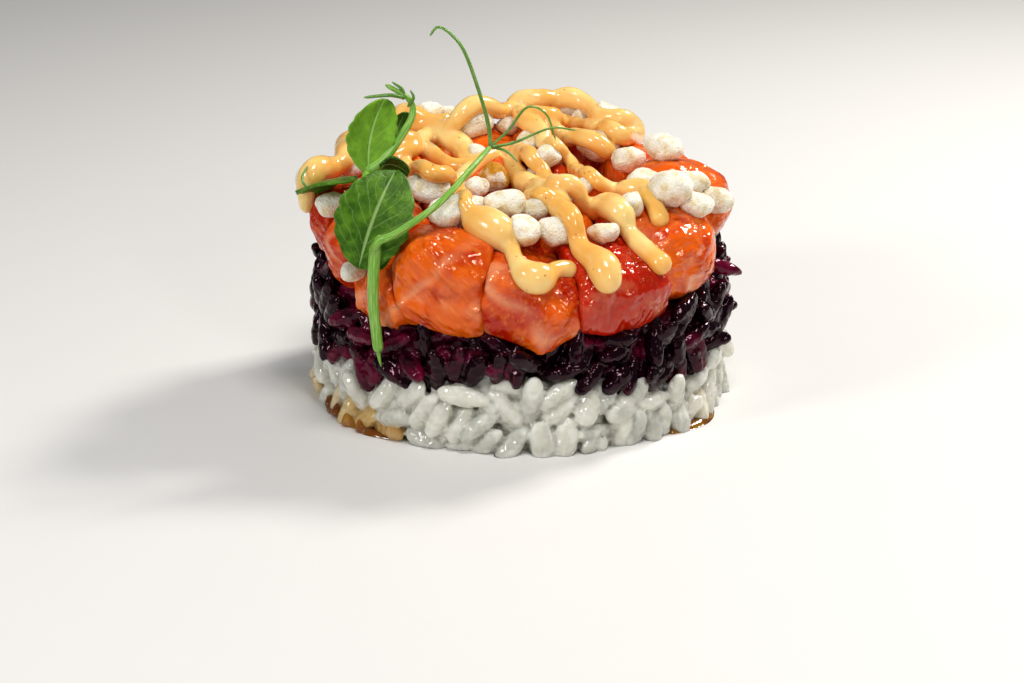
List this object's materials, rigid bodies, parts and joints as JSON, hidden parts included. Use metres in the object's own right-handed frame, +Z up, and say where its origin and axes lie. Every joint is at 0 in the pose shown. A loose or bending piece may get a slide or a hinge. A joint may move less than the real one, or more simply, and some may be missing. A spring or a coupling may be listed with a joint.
{
  "type": "pressed sushi",
  "caption": "Round moulded sushi cake of white rice, black rice and diced salmon, topped with puffed rice, a creamy drizzle and a pea shoot.",
  "frame": {"origin": "middle of the round base, on the surface the cake stands on", "axes": "+Z up through the middle of the cake; -Y is the front that the picture shows, with the pea shoot at the front left; +X to the right seen from the front"},
  "size_m": [0.0719, 0.0717, 0.0646],
  "materials": {
    "white_rice": "moist cooked white rice, slightly translucent, glossy grains",
    "black_rice": "moist cooked black rice, dark purple with crimson tones, glossy grains",
    "salmon": "raw salmon, wet, marbled with pale fat lines",
    "crisps": "puffed rice, dry and porous",
    "sauce": "creamy orange sauce, satin gloss",
    "pea_shoot": "fresh green leaf and stem, satin",
    "soy": "thin soy sauce, clear brown"
  },
  "bodies": {
    "root": {"white_rice": "white_rice", "black_rice": "black_rice", "salmon_01": "salmon", "salmon_02": "salmon", "salmon_03": "salmon", "salmon_04": "salmon", "salmon_05": "salmon", "salmon_06": "salmon", "salmon_07": "salmon", "salmon_08": "salmon", "salmon_09": "salmon", "salmon_10": "salmon", "salmon_11": "salmon", "salmon_12": "salmon", "salmon_13": "salmon", "salmon_14": "salmon", "salmon_15": "salmon", "salmon_16": "salmon", "salmon_17": "salmon", "salmon_18": "salmon", "salmon_19": "salmon", "salmon_20": "salmon", "crisps_and_sauce": "sauce", "crisp_back_right": "crisps", "crisp_right": "crisps", "crisps_front_right": "crisps", "crisp_left": "crisps", "crisp_middle_left": "crisps", "crisp_front_left": "crisps", "pea_shoot": "pea_shoot"}
  },
  "joints": []
}
